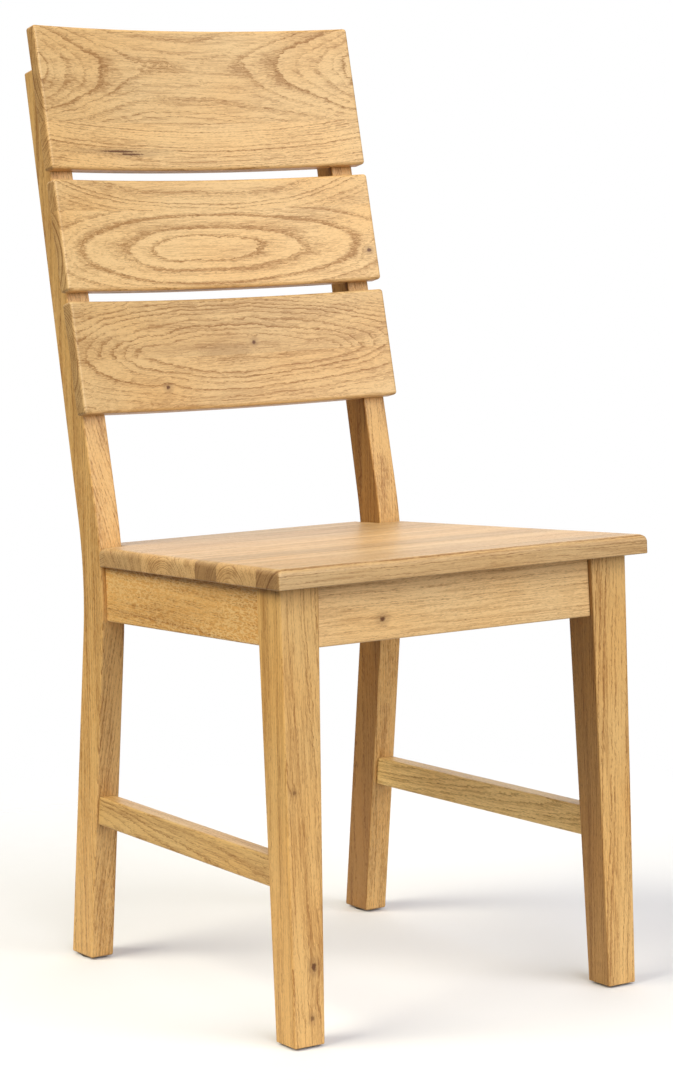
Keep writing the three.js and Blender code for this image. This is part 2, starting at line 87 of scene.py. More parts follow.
LEG_RADIUS = 2.5 * MM
RAIL_RADIUS = 2.2 * MM
FOOT_RADIUS = 1.2 * MM
SLAT_FRONT_RADIUS = 3.6 * MM
SLAT_BACK_RADIUS = 2.2 * MM
SEAT_TOP_RADIUS = 7 * MM
SEAT_BOTTOM_RADIUS = 1.5 * MM
SEAT_CORNER_RADIUS = 3 * MM
ROUND_SEGMENTS = 6
INSET = 0.02 * MM  # keeps a rounded envelope clear of the faces of its CAD solid
WELD = 0.002 * MM
FLAT = math.radians(0.3)
SHARP = math.radians(30)
GLUE_LINE = 0.02 * MM
OVERRUN = 6 * MM  # how far an envelope runs past the ends that the CAD solid cuts
STRAIGHT = 0.05 * MM  # a corner that stands out less than this from its neighbours' line is dropped
NEAR = 1 * MM  # places closer than this are taken as the same
SAME_WAY = 0.999  # least cosine between directions that are the same
ROUGHLY = 0.8  # least cosine between directions that agree roughly
ALONG = 0.95  # least cosine between an edge and a direction it follows
AT_BACK = 0.5  # least Y in the normal of a face at a slat's back
FLAT_FACE_WEIGHT = 80  # how far the large flat faces rule the shading of the rounded edges
LEAST_KEPT = 0.97  # a finished piece has at least this share of its CAD solid's volume
MOST_KEPT = 1.001  # and at most this


# ---------------------------------------------------------------- shapes

def whole_faces(node):
    """A CAD node's mesh with its flat faces joined again."""
    bm = bmesh.new()
    bm.from_mesh(nodes[node].data)
    bmesh.ops.remove_doubles(bm, verts=bm.verts, dist=WELD)
    bmesh.ops.dissolve_limit(bm, angle_limit=FLAT, verts=bm.verts, edges=bm.edges)
    return bm


def end_face(node, direction):
    """Corners, in order, of a node's flat face that lies farthest along a direction."""
    bm = whole_faces(node)
    facing = [face for face in bm.faces if face.normal.dot(direction) > SAME_WAY]
    far = max(facing, key=lambda face: face.calc_center_median().dot(direction))
    corners = [vert.co.copy() for vert in far.verts]
    bm.free()
    return corners


def largest_normal(node, near):
    """Normal of a node's largest flat face among those that point roughly along a direction."""
    bm = whole_faces(node)
    facing = [face for face in bm.faces if face.normal.dot(near) > ROUGHLY]
    normal = max(facing, key=lambda face: face.calc_area()).normal.copy()
    bm.free()
    return normal


def longest_edge(node):
    """Direction of a node's longest straight edge."""
    bm = whole_faces(node)
    edge = max(bm.edges, key=lambda candidate: candidate.calc_length())
    direction = (edge.verts[1].co - edge.verts[0].co).normalized()
    bm.free()
    return direction


def prism(outline, sweep):
    """A closed mesh swept from an outline along a vector."""
    bm = bmesh.new()
    start = [bm.verts.new(point) for point in outline]
    end = [bm.verts.new(point + sweep) for point in outline]
    bm.faces.new(start)
    bm.faces.new(end)
    for i in range(len(outline)):
        j = (i + 1) % len(outline)
        bm.faces.new((start[i], start[j], end[j], end[i]))
    return bm


def hull(node):
    """The convex hull of a CAD node, with its flat faces whole."""
    bm = bmesh.new()
    points = [bm.verts.new(vert.co) for vert in nodes[node].data.vertices]
    bmesh.ops.remove_doubles(bm, verts=points, dist=WELD)
    result = bmesh.ops.convex_hull(bm, input=bm.verts)
    inside = [item for item in result["geom_interior"] if isinstance(item, bmesh.types.BMVert)]
    bmesh.ops.delete(bm, geom=inside, context="VERTS")
    bmesh.ops.dissolve_limit(bm, angle_limit=FLAT, verts=bm.verts, edges=bm.edges)
    return bm


def applied(piece):
    """A new mesh with the piece's modifiers in it."""
    graph = bpy.context.evaluated_depsgraph_get()
    return bpy.data.meshes.new_from_object(
        piece.evaluated_get(graph), preserve_all_data_layers=True, depsgraph=graph
    )


def new_object(name, mesh):
    piece = bpy.data.objects.new(name, mesh)
    bpy.context.scene.collection.objects.link(piece)
    return piece


def rounded(name, bm, radius_of):
    """A mesh whose sharp edges are rounded, each to the radius that radius_of(edge) gives."""
    weight = bm.edges.layers.float.new("bevel_weight_edge")
    bmesh.ops.recalc_face_normals(bm, faces=bm.faces)
    moves = [vert.normal * vert.calc_shell_factor() * INSET for vert in bm.verts]
    for vert, move in zip(bm.verts, moves):
        vert.co -= move
    sharp = [edge for edge in bm.edges if edge.calc_face_angle() > SHARP]
    radii = [radius_of(edge) for edge in sharp]
    for edge, radius in zip(sharp, radii):
        edge[weight] = radius / max(radii)
    mesh = bpy.data.meshes.new(name)
    bm.to_mesh(mesh)
    bm.free()
    envelope = new_object(name, mesh)
    bevel = envelope.modifiers.new("rounding", "BEVEL")
    bevel.limit_method = "WEIGHT"
    bevel.width = max(radii)
    bevel.segments = ROUND_SEGMENTS
    bevel.use_clamp_overlap = False
    result = applied(envelope)
    bpy.data.objects.remove(envelope)
    return result


def volume(mesh):
    """Volume inside a closed mesh."""
    bm = bmesh.new()
    bm.from_mesh(mesh)
    amount = bm.calc_volume()
    bm.free()
    return amount


def cut_from(envelope, node):
    """The visible piece for a CAD node: its solid with the envelope's rounded surface.

    A cut that goes wrong can leave a piece empty or uncut without a word, so its volume is checked.
    """
    piece = new_object(f"{node}_finished", envelope)
    joints = piece.modifiers.new("joints", "BOOLEAN")
    joints.operation = "INTERSECT"
    joints.solver = "EXACT"
    joints.object = nodes[node]
    piece.data = applied(piece)
    piece.modifiers.clear()
    kept = volume(piece.data) / volume(nodes[node].data)
    if not LEAST_KEPT < kept < MOST_KEPT:
        raise RuntimeError(f"{node} keeps {kept:.3f} of its CAD volume after rounding")
    piece.data.materials.clear()
    piece.data.shade_smooth()
    piece.data.set_sharp_from_angle(angle=SHARP)
    even = piece.modifiers.new("even_shading", "WEIGHTED_NORMAL")
    even.keep_sharp = True
    even.weight = FLAT_FACE_WEIGHT
    piece.data = applied(piece)
    piece.modifiers.clear()
    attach(piece, "root")
    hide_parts(node)
    return piece


def join_boards(pieces, direction):
    """Closes the glue lines between boards that follow each other along a direction."""
    for first, second in zip(pieces, pieces[1:]):
        end = max(vert.co.dot(direction) for vert in first.data.vertices)
        start = min(vert.co.dot(direction) for vert in second.data.vertices)
        middle = (start + end) / 2
        for piece, edge, sign in ((first, end, -1), (second, start, 1)):
            move = direction * (middle - edge + sign * GLUE_LINE / 2)
            for vert in piece.data.vertices:
                if abs(vert.co.dot(direction) - edge) < WELD:
                    vert.co += move


def is_along(edge, direction):
    run = (edge.verts[1].co - edge.verts[0].co).normalized()
    return abs(run.dot(direction)) > ALONG


def make_front_leg(node):
    """Tapered leg, rounded along its length and lightly round its foot."""
    def radius_of(edge):
        return LEG_RADIUS if is_along(edge, Z) else FOOT_RADIUS
    return cut_from(rounded(node, hull(node), radius_of), node)


def make_rear_post(node, sign):
    """Bent post, rounded along all the edges of its sawn profile."""
    outer = end_face(node, sign * X)
    low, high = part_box(node)
    through = -sign * (high.x - low.x) * X
    return cut_from(rounded(node, prism(outer, through), lambda edge: LEG_RADIUS), node)


def make_rail(node):
    """Straight rail, rounded along its length. Its shoulders and tenons come from the CAD solid."""
    run = longest_edge(node)
    side = run.cross(Z).normalized()
    up = side.cross(run)
    points = [vert.co for vert in nodes[node].data.vertices]
    flat = bmesh.new()
    for point in points:
        flat.verts.new(side * point.dot(side) + up * point.dot(up))
    bmesh.ops.remove_doubles(flat, verts=flat.verts, dist=WELD)
    corners = convex_corners([(vert.co.dot(side), vert.co.dot(up)) for vert in flat.verts])
    flat.free()
    start = min(point.dot(run) for point in points) - OVERRUN
    end = max(point.dot(run) for point in points) + OVERRUN
    outline = [side * across + up * height + run * start for across, height in corners]
    envelope = rounded(node, prism(outline, run * (end - start)), lambda edge: RAIL_RADIUS)
    return cut_from(envelope, node)


def convex_corners(points):
    """Corners of the convex hull of flat points, in order, without those on nearly straight sides."""
    ordered = sorted(points)

    def chain(sequence):
        corners = []
        for point in sequence:
            while len(corners) > 1 and stands_out(corners[-2], corners[-1], point) <= STRAIGHT:
                corners.pop()
            corners.append(point)
        return corners[:-1]

    return chain(ordered) + chain(reversed(ordered))


def stands_out(a, b, c):
    """How far a flat point b lies to the right of the line from a to c."""
    area = (b[0] - a[0]) * (c[1] - a[1]) - (b[1] - a[1]) * (c[0] - a[0])
    return area / math.dist(a, c)


def make_slat(name):
    """One curved slat, rounded all round, then cut into its two boards."""
    lower, upper = f"{name}_lower_board", f"{name}_upper_board"
    up = largest_normal(upper, Z)
    outline = end_face(lower, -up)
    height = end_face(upper, up)[0].dot(up) - outline[0].dot(up)

    def radius_of(edge):
        if edge.calc_length() < NEAR:
            return 0
        at_end = abs(edge.verts[0].co.x) > end_x - NEAR
        if is_along(edge, up) and not at_end:
            return 0
        at_back = any(face.normal.y > AT_BACK for face in edge.link_faces)
        return SLAT_BACK_RADIUS if at_back else SLAT_FRONT_RADIUS

    end_x = max(point.x for point in outline)
    envelope = rounded(name, prism(outline, up * height), radius_of)
    boards = [cut_from(envelope, lower), cut_from(envelope.copy(), upper)]
    join_boards(boards, up)
    return boards


STAVES = [f"seat_stave_{number}" for number in range(1, 7)]


def off_seam(corners, seam_y):
    """Corners of a stave's face that aren't on its seam, in their order round the face."""
    free = [abs(point.y - seam_y) > NEAR for point in corners]
    start = next(i for i in range(len(corners)) if free[i] and not free[i - 1])
    ordered = corners[start:] + corners[:start]
    return ordered[:sum(free)]


def make_seat():
    """The seat panel, rounded all round, then cut into its staves."""
    normal = largest_normal(STAVES[1], Z)
    front = end_face(STAVES[0], normal)
    back = end_face(STAVES[-1], normal)
    outline = off_seam(front, max(point.y for point in front))
    outline += off_seam(back, min(point.y for point in back))
    top = front[0].dot(normal)
    thickness = normal * (end_face(STAVES[1], -normal)[0].dot(normal) - top)

    def radius_of(edge):
        if is_along(edge, normal):
            return SEAT_CORNER_RADIUS
        above = (edge.verts[0].co + edge.verts[1].co).dot(normal) / 2 > top - NEAR
        return SEAT_TOP_RADIUS if above else SEAT_BOTTOM_RADIUS

    envelope = rounded("seat", prism(outline, thickness), radius_of)
    staves = [cut_from(envelope.copy(), node) for node in STAVES]
    join_boards(staves, X.cross(-normal))
    return staves


pieces = {}
for side, sign in SIDES:
    pieces[f"front_leg_{side}"] = make_front_leg(f"front_leg_{side}")
    pieces[f"rear_post_{side}"] = make_rear_post(f"rear_post_{side}", sign)
    pieces[f"side_apron_{side}"] = make_rail(f"side_apron_{side}")
    pieces[f"side_stretcher_{side}"] = make_rail(f"side_stretcher_{side}")
for node in ("front_apron", "rear_apron"):
    pieces[node] = make_rail(node)
for slat in ("bottom_slat", "middle_slat", "top_slat"):
    for part, piece in zip(("lower", "upper"), make_slat(slat)):
        pieces[f"{slat}_{part}_board"] = piece
for node, piece in zip(STAVES, make_seat()):
    pieces[node] = piece

# ---------------------------------------------------------------- shader nodes

class Graph:
    """Short ways to add nodes to a shader tree. A value is a socket to link or a constant."""

    def __init__(self, tree):
        self.tree = tree

    def node(self, kind, **settings):
        added = self.tree.nodes.new(f"ShaderNode{kind}")
        for key, value in settings.items():
            setattr(added, key, value)
        return added

    def feed(self, socket, value):
        if isinstance(value, bpy.types.NodeSocket):
            self.tree.links.new(value, socket)
        else:
            socket.default_value = value

    def math(self, operation, *values, clamp=False):
        added = self.node("Math", operation=operation, use_clamp=clamp)
        for socket, value in zip(added.inputs, values):
            self.feed(socket, value)
        return added.outputs[0]

    def vector(self, operation, *values):
        added = self.node("VectorMath", operation=operation)
        for socket, value in zip(added.inputs, values):
            self.feed(socket, value)
        return added.outputs["Value" if operation in ("LENGTH", "DOT_PRODUCT") else "Vector"]

    def scaled(self, vector, factor):
        added = self.node("VectorMath", operation="SCALE")
        self.feed(added.inputs["Vector"], vector)
        self.feed(added.inputs["Scale"], factor)
        return added.outputs["Vector"]

    def noise(self, vector, detail=1.0, colour=False):
        added = self.node("TexNoise", noise_dimensions="3D")
        self.feed(added.inputs["Vector"], vector)
        self.feed(added.inputs["Scale"], 1.0)
        self.feed(added.inputs["Detail"], detail)
        return added.outputs["Color" if colour else "Fac"]

    def line_noise(self, value, detail=0.0):
        added = self.node("TexNoise", noise_dimensions="1D")
        self.feed(added.inputs["W"], value)
        self.feed(added.inputs["Scale"], 1.0)
        self.feed(added.inputs["Detail"], detail)
        return added.outputs["Fac"]

    def remap(self, value, low, high, to_low=0.0, to_high=1.0, smooth=False):
        kind = "SMOOTHSTEP" if smooth else "LINEAR"
        added = self.node("MapRange", interpolation_type=kind)
        for name, number in (("Value", value), ("From Min", low), ("From Max", high),
                             ("To Min", to_low), ("To Max", to_high)):
            self.feed(added.inputs[name], number)
        return added.outputs["Result"]

    def ramp(self, value, *stops):
        """A smooth grey curve through (position, value) stops."""
        added = self.node("ValToRGB")
        ramp = added.color_ramp
        while len(ramp.elements) < len(stops):
            ramp.elements.new(0.5)
        for element, (position, level) in zip(ramp.elements, stops):
            element.position = position
            element.color = (level, level, level, 1)
        self.feed(added.inputs["Fac"], value)
        return added.outputs["Color"]

    def mix(self, factor, first, second, blend="MIX"):
        added = self.node("Mix", data_type="RGBA", blend_type=blend)
        self.feed(added.inputs[0], factor)
        self.feed(added.inputs[6], first)
        self.feed(added.inputs[7], second)
        return added.outputs[2]


def new_group(name, inputs, outputs):
    """An empty node group with sockets from {name: kind}; returns it with its in and out nodes."""
    group = bpy.data.node_groups.new(name, "ShaderNodeTree")
    for direction, sockets in (("INPUT", inputs), ("OUTPUT", outputs)):
        for socket, kind in sockets.items():
            group.interface.new_socket(socket, in_out=direction, socket_type=f"NodeSocket{kind}")
    return group, group.nodes.new("NodeGroupInput"), group.nodes.new("NodeGroupOutput")


BUMP_STRENGTH = 0.5


def new_material(name):
    material = bpy.data.materials.new(name)
    material.use_nodes = True
    return material, Graph(material.node_tree), material.node_tree.nodes["Principled BSDF"]


def roughen(g, shader, height, distance):
    """Gives a surface a relief. distance is how deep a height of 1 is, in metres."""
    bump = g.node("Bump")
    g.feed(bump.inputs["Strength"], BUMP_STRENGTH)
    g.feed(bump.inputs["Distance"], distance)
    g.feed(bump.inputs["Height"], height)
    g.feed(shader.inputs["Normal"], bump.outputs["Normal"])


# ---------------------------------------------------------------- oak

PALE_OAK = (0.72, 0.465, 0.195)
DEEP_OAK = (0.37, 0.185, 0.052)
PORE = (0.15, 0.07, 0.024, 1)
FLECK = (0.88, 0.62, 0.29, 1)
KNOT = (0.13, 0.045, 0.008, 1)
WARM_PATCH = (1.0, 0.93, 0.82, 1)  # the tint of the warmer patches
END_GRAIN_AND_SHADE_TINT = (0.55, 0.45, 0.34, 1)  # the tint of end grain, which drinks the oil, and of the painted shade on sides turned one way
TO_MM = 1000
MIDDLE = (0.5, 0.5, 0.5)  # of a noise

# Marks. Distances are in half sizes of the mark.
MARK_GRAIN = (3, 3, 3)  # mm, the size of the unevenness of a mark's edge
MARK_UNEVEN = 0.8
MARK_FADE = (0.8, 1.4)  # a mark fades out between these distances
HALO_FADE = (0.8, 2.6)  # and the stain round it between these
HALO_DEPTH = 0.3
PUSH_REACH = 4.5  # rings are pushed aside out to this distance
PUSH_MOST = 3  # mm

# Growth rings, in years and mm.
SLOW_WAVES, MEDIUM_WAVES = 2, 0.7  # times a board's waviness
FINE_WAVES = 1.8  # mm
SEED_STEPS = (173, 411, 297)  # mm from one seed's place in the noise to the next
SEED_YEARS = 37
UNEVEN_PACE = 0.37  # how quickly the width of the rings changes from year to year
UNEVEN_YEARS = 2.4  # how far it carries them
YEAR_STEP = 7.31  # from one year's place in the noise to the next
SPRING_WOOD = (  # how deep the wood is through a year, from the start of spring
    (0.0, 0.9), (0.08, 1.0), (0.2, 0.5), (0.4, 0.15), (0.7, 0.0), (0.94, 0.03), (1.0, 0.9),
)
YEAR_DEPTHS = (0.3, 0.7, 0.3, 1.0)  # a noise's range, and what it becomes: faint years and strong ones
DASH_DEPTHS = (0.35, 0.62, 0.6, 1.3)  # the same for the dashes along a ring
PORE_DASHES = (0.56, 0.66)  # the dashes that open into pores
PORE_IN_SPRING, PORE_ANYWHERE = 0.5, 0.4

# Rays.
PATCH_START = (91, 47, 13)  # mm, the place of the patches in the noise
RAY_ALONG, RAY_OUTWARD = 9, 3.4  # mm, the size of their waves
RAYS_PER_RADIAN = 25
RAY_WIDTH = (0.02, 0.1, 1, 0)  # distances from a ray's line, and how strong it is there
RAY_PATCHES = (0.4, 0.55, 0.5, 1)

# How much each feature adds to the depth of the colour, to the roughness and to the relief.
END_CONTRAST = 0.7  # rings show more on end grain
BASE_DEPTH = 0.1
FIBRE_DEPTH = 2.2
WARM_PATCHES = (0.3, 0.7)
PORE_DEPTH, RAY_DEPTH = 0.5, 0.6
BASE_ROUGHNESS = 0.42
SPRING_ROUGHNESS, PORE_ROUGHNESS, RAY_ROUGHNESS = 0.1, 0.2, -0.12
FIBRE_RELIEF, PORE_RELIEF, SPRING_RELIEF, MARK_RELIEF = 0.5, -0.8, -0.35, -0.6
OAK_RELIEF = 0.15 * MM
SLAT_TINT = (1, 1.04, 1.14)
SEAT_TINT = (1, 1.02, 1.15)
SEAT_SEED = 30
TURNED_TO = (0.6, 0.95)  # cosines between which a surface comes to count as facing the direction that gets painted shade
END_GRAIN = (0.55, 0.95)  # and as end grain


def make_mark_group():
    """A knot or dark streak through a board: its darkness, and how far it pushes the rings aside."""
    group, given, result = new_group(
        "oak_mark",
        {
            "Log": "Vector", "Along": "Float", "Beside": "Float",
            "Length": "Float", "Width": "Float", "Strength": "Float",
        },
        {"Dark": "Float", "Push": "Float"},
    )
    g = Graph(group)
    point = g.scaled(given.outputs["Log"], TO_MM)
    rough = g.noise(g.vector("DIVIDE", point, MARK_GRAIN), detail=2)
    split = g.node("SeparateXYZ")
    g.feed(split.inputs[0], point)
    length, width = given.outputs["Length"], given.outputs["Width"]
    along = g.math("DIVIDE", g.math("SUBTRACT", split.outputs["X"], given.outputs["Along"]), length)
    beside = g.math("DIVIDE", g.math("SUBTRACT", split.outputs["Z"], given.outputs["Beside"]), width)
    distance = g.math("SQRT", g.math("ADD", g.math("POWER", along, 2), g.math("POWER", beside, 2)))
    dark = g.remap(g.math("MULTIPLY_ADD", rough, MARK_UNEVEN, distance), *MARK_FADE, 1, 0)
    halo = g.remap(distance, *HALO_FADE, HALO_DEPTH, 0, smooth=True)
    push = g.remap(distance, 0, PUSH_REACH, 1, 0, smooth=True)
    strength = given.outputs["Strength"]
    g.feed(result.inputs["Dark"], g.math("MULTIPLY", g.math("MAXIMUM", dark, halo), strength))
    g.feed(result.inputs["Push"], g.math("MULTIPLY", push, g.math("MULTIPLY", strength, PUSH_MOST)))
    return group


def make_oak_group():
    """Solid oak in a log's own coordinates: X along the pith, in metres, growth rings round it.

    Rings, pores, rays and streaks are cut through by whatever surface carries the material, so
    faces, edges and end grain of a board agree with each other.
    """
    group, given, result = new_group(
        "oak_in_the_log",
        {
            "Log": "Vector", "Seed": "Float", "Ring width": "Float", "Waviness": "Float",
            "Contrast": "Float", "Streaks": "Float", "Fleck": "Float", "Push": "Float",
            "Dark": "Float", "End grain": "Float", "Ends": "Float", "Side": "Float",
            "Pale": "Color", "Deep": "Color",
        },
        {"Color": "Color", "Roughness": "Float", "Height": "Float"},
    )
    g = Graph(group)
    point = g.scaled(given.outputs["Log"], TO_MM)
    shift = g.node("CombineXYZ")
    for axis, step in zip("XYZ", SEED_STEPS):
        g.feed(shift.inputs[axis], g.math("MULTIPLY", given.outputs["Seed"], step))
    seeded = g.vector("ADD", point, shift.outputs[0])

    # The pith wanders and the rings ripple, slowly along the grain and faster across it.
    def ripple(along, across, amount, detail):
        sample = g.vector("DIVIDE", seeded, (along, across, across))
        centred = g.vector("SUBTRACT", g.noise(sample, detail=detail, colour=True), MIDDLE)
        return g.scaled(centred, amount)

    waviness = given.outputs["Waviness"]
    slow = ripple(along=150, across=70, amount=g.math("MULTIPLY", waviness, SLOW_WAVES * TO_MM), detail=1)
    medium = ripple(along=34, across=22, amount=g.math("MULTIPLY", waviness, MEDIUM_WAVES * TO_MM), detail=2)
    fine = ripple(along=6, across=3, amount=FINE_WAVES, detail=2)
    bent = g.vector("ADD", point, g.vector("ADD", slow, g.vector("ADD", medium, fine)))
    bent_seeded = g.vector("ADD", bent, shift.outputs[0])
    split = g.node("SeparateXYZ")
    g.feed(split.inputs[0], bent)
    radius = g.math("SQRT", g.math("ADD", g.math("POWER", split.outputs["Y"], 2),
                                   g.math("POWER", split.outputs["Z"], 2)))
    radius = g.math("ADD", radius, given.outputs["Push"])

    # Fibres, broad streaks and pores, all drawn out along the grain.
    def strands(along, across, detail, start):
        return g.noise(g.vector("DIVIDE", start, (along, across, across)), detail=detail)

    fibre = strands(along=48, across=1.1, detail=3, start=bent_seeded)
    streak = strands(along=330, across=13, detail=2, start=seeded)
    patch = strands(along=120, across=60, detail=1, start=g.vector("ADD", seeded, PATCH_START))
    dash = strands(along=6, across=0.6, detail=1, start=bent_seeded)

    # Growth rings of uneven width, each starting sharply with its open-pored spring wood.
    ring = g.math("MULTIPLY", given.outputs["Ring width"], TO_MM)
    years = g.math("DIVIDE", radius, ring)
    seed_line = g.math("MULTIPLY", given.outputs["Seed"], SEED_YEARS)
    uneven = g.line_noise(g.math("MULTIPLY_ADD", years, UNEVEN_PACE, seed_line), detail=1)
    phase = g.math("MULTIPLY_ADD", uneven, UNEVEN_YEARS, years)
    spring = g.ramp(g.math("FRACT", phase), *SPRING_WOOD)
    strength = g.line_noise(g.math("MULTIPLY_ADD", g.math("FLOOR", phase), YEAR_STEP, seed_line))
    spring = g.math("MULTIPLY", spring, g.remap(strength, *YEAR_DEPTHS))
    spring = g.math("MULTIPLY", spring, g.remap(dash, *DASH_DEPTHS))
    open_pore = g.remap(dash, *PORE_DASHES)
    pore = g.math("MULTIPLY", open_pore, g.math("MULTIPLY_ADD", spring, PORE_IN_SPRING, PORE_ANYWHERE))

    # Rays stand on the rings and run out from the pith: wavy flecks where a face meets them flat.
    angle = g.math("ARCTAN2", split.outputs["Z"], split.outputs["Y"])
    ray_place = g.node("CombineXYZ")
    g.feed(ray_place.inputs[0], g.math("DIVIDE", split.outputs["X"], RAY_ALONG))
    g.feed(ray_place.inputs[1], g.math("DIVIDE", radius, RAY_OUTWARD))
    g.feed(ray_place.inputs[2], g.math("MULTIPLY", angle, RAYS_PER_RADIAN))
    off_line = g.math("ABSOLUTE", g.math("SUBTRACT", g.noise(ray_place.outputs[0], detail=1), 0.5))
    ray = g.math("MULTIPLY", g.remap(off_line, *RAY_WIDTH), g.remap(patch, *RAY_PATCHES))
    ray = g.math("MULTIPLY", ray, given.outputs["Fleck"])

    facing = given.outputs["End grain"]
    end_contrast = g.math("MULTIPLY_ADD", facing, END_CONTRAST, 1.0)
    contrast = g.math("MULTIPLY", given.outputs["Contrast"], end_contrast)
    depth = g.math("MULTIPLY_ADD", spring, contrast, BASE_DEPTH)
    depth = g.math("ADD", depth, g.math("MULTIPLY_ADD", fibre, FIBRE_DEPTH, -FIBRE_DEPTH / 2))
    swing = g.math("MULTIPLY", g.math("SUBTRACT", streak, 0.5), given.outputs["Streaks"])
    depth = g.math("ADD", depth, swing, clamp=True)
    wood = g.mix(depth, given.outputs["Pale"], given.outputs["Deep"])
    warm = g.remap(patch, *WARM_PATCHES)
    wood = g.mix(warm, wood, g.mix(1.0, wood, WARM_PATCH, blend="MULTIPLY"))
    wood = g.mix(g.math("MULTIPLY", pore, PORE_DEPTH), wood, PORE)
    wood = g.mix(g.math("MULTIPLY", ray, RAY_DEPTH), wood, FLECK)
    wood = g.mix(given.outputs["Dark"], wood, KNOT)
    # End grain darkens with its own tint, and faces turned one way are darkened too as painted shade.
    end_grain_and_painted_shade = g.math("MULTIPLY_ADD", facing, given.outputs["Ends"], given.outputs["Side"])
    wood = g.mix(end_grain_and_painted_shade, wood, g.mix(1.0, wood, END_GRAIN_AND_SHADE_TINT, blend="MULTIPLY"))
    g.feed(result.inputs["Color"], wood)

    rough = g.math("MULTIPLY_ADD", spring, SPRING_ROUGHNESS, BASE_ROUGHNESS)
    rough = g.math("MULTIPLY_ADD", pore, PORE_ROUGHNESS, rough)
    rough = g.math("MULTIPLY_ADD", ray, RAY_ROUGHNESS, rough, clamp=True)
    g.feed(result.inputs["Roughness"], rough)

    height = g.math("MULTIPLY_ADD", pore, PORE_RELIEF, g.math("MULTIPLY", fibre, FIBRE_RELIEF))
    height = g.math("MULTIPLY_ADD", spring, SPRING_RELIEF, height)
    height = g.math("MULTIPLY_ADD", given.outputs["Dark"], MARK_RELIEF, height)
    g.feed(result.inputs["Height"], height)
    return group


OAK = make_oak_group()
MARK = make_mark_group()


def tinted(colour, tone):
    return (*[channel * factor for channel, factor in zip(colour, tone)], 1)


def shaded(tint, shade):
    return tuple(shade * channel for channel in tint)


def dress(piece, material):
    """Puts a material on a piece or a CAD node."""
    piece.data.materials.clear()
    piece.data.materials.append(material)


def oak(piece, grain, face, behind, beside, *, lean=0, seed=0, ring=3.2, wave=3.0, contrast=0.85,
        streaks=1.4, fleck=0.0, ends=0.5, tone=(1, 1, 1), marks=(), painted_shade_side=None):
    """Gives a piece its oak.

    grain is the direction of the fibres and face the outward normal of the board's main face.
    The pith runs past the piece's middle, so many mm behind it and beside its middle line, and
    leans out of the face's plane by so many degrees. A negative behind puts the pith in front.
    ring and wave are the width of the growth rings and how far they wander, in mm.
    Each mark is a knot or streak: how far along and beside the middle, its half length and half
    width, all in mm, and how dark it is.
    ends is how far the end grain darkens. painted_shade_side is a direction whose faces are darkened, and
    how far: it is shading put into the colour, to match the photograph's contrast.
    """
    low = Vector(min(corner[i] for corner in piece.bound_box) for i in range(3))
    high = Vector(max(corner[i] for corner in piece.bound_box) for i in range(3))
    across = face.cross(grain).normalized()
    normal = grain.cross(across).normalized()
    tilt = Matrix.Rotation(math.radians(lean), 3, across)
    along = tilt @ grain
    axes = Matrix((along, tilt @ -normal, tilt @ across)).transposed()
    place = (low + high) / 2 - normal * behind * MM + across * beside * MM

    material, g, shader = new_material(f"oak_{piece.name}")
    mapping = g.node("Mapping", vector_type="TEXTURE")
    g.feed(mapping.inputs["Vector"], g.node("TexCoord").outputs["Object"])
    mapping.inputs["Location"].default_value = place
    mapping.inputs["Rotation"].default_value = axes.to_euler()
    log = mapping.outputs[0]
    dark, push = 0.0, 0.0
    for mark_along, mark_beside, length, width, strength in marks:
        mark = g.node("Group", node_tree=MARK)
        for name, value in (("Log", log), ("Along", mark_along), ("Beside", mark_beside - beside),
                            ("Length", length), ("Width", width), ("Strength", strength)):
            g.feed(mark.inputs[name], value)
        dark = g.math("MAXIMUM", dark, mark.outputs["Dark"])
        push = g.math("ADD", push, mark.outputs["Push"])
    wood = g.node("Group", node_tree=OAK)
    surface = g.node("TexCoord").outputs["Normal"]
    facing = g.math("ABSOLUTE", g.vector("DOT_PRODUCT", surface, along))
    # Painted shade: faces turned to the given direction are darkened to stand in for shade.
    side = 0.0
    if painted_shade_side:
        direction, amount = painted_shade_side
        side = g.remap(g.vector("DOT_PRODUCT", surface, direction), *TURNED_TO, 0, amount)
    for name, value in (
        ("Log", log), ("Seed", seed), ("Ring width", ring * MM), ("Waviness", wave * MM),
        ("Contrast", contrast), ("Streaks", streaks), ("Fleck", fleck), ("Push", push),
        ("Dark", dark), ("End grain", g.remap(facing, *END_GRAIN)), ("Ends", ends), ("Side", side),
        ("Pale", tinted(PALE_OAK, tone)), ("Deep", tinted(DEEP_OAK, tone)),
    ):
        g.feed(wood.inputs[name], value)
    g.feed(shader.inputs["Base Color"], wood.outputs["Color"])
    g.feed(shader.inputs["Roughness"], wood.outputs["Roughness"])
    roughen(g, shader, wood.outputs["Height"], OAK_RELIEF)
    shader.inputs["IOR"].default_value = 1.45
    shader.inputs["Coat Weight"].default_value = 0.12
    shader.inputs["Coat Roughness"].default_value = 0.35
    dress(piece, material)


